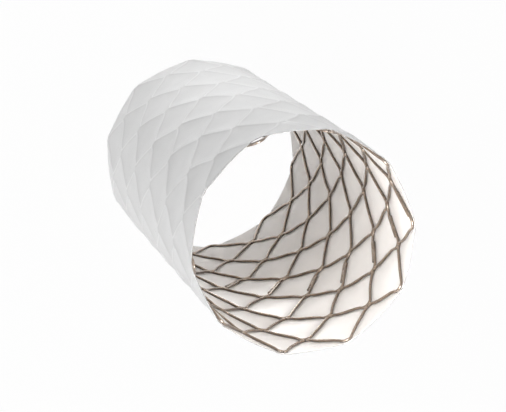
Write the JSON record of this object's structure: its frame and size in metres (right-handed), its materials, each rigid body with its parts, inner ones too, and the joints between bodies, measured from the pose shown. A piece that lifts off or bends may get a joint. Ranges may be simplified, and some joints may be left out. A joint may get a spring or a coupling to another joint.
{
  "type": "covered stent",
  "caption": "Short tube of zigzag wire rings welded crown to crown, wrapped in a taut white polymer film that shows the diamond lattice in relief.",
  "frame": {"origin": "centre of the far end's face, on the tube's axis", "axes": "+Z along the tube's axis from the far end to the near end, +X through a crown of the far end"},
  "size_m": [0.028, 0.028, 0.0561],
  "materials": {
    "film": "white stretched polymer film, matt with a faint sheen",
    "wire": "drawn wire, warm grey-brown, semi-bright",
    "weld": "small fused beads, warm beige metal"
  },
  "bodies": {
    "root": {"cover": "film", "ring_01": "wire", "ring_02": "wire", "ring_03": "wire", "ring_04": "wire", "ring_05": "wire", "ring_06": "wire", "ring_07": "wire", "ring_08": "wire", "ring_09": "wire", "ring_10": "wire", "ring_11": "wire", "weld_row_01": "weld", "weld_row_02": "weld", "weld_row_03": "weld", "weld_row_04": "weld", "weld_row_05": "weld", "weld_row_06": "weld", "weld_row_07": "weld", "weld_row_08": "weld", "weld_row_09": "weld", "weld_row_10": "weld", "lap_welds": "weld"}
  },
  "joints": []
}
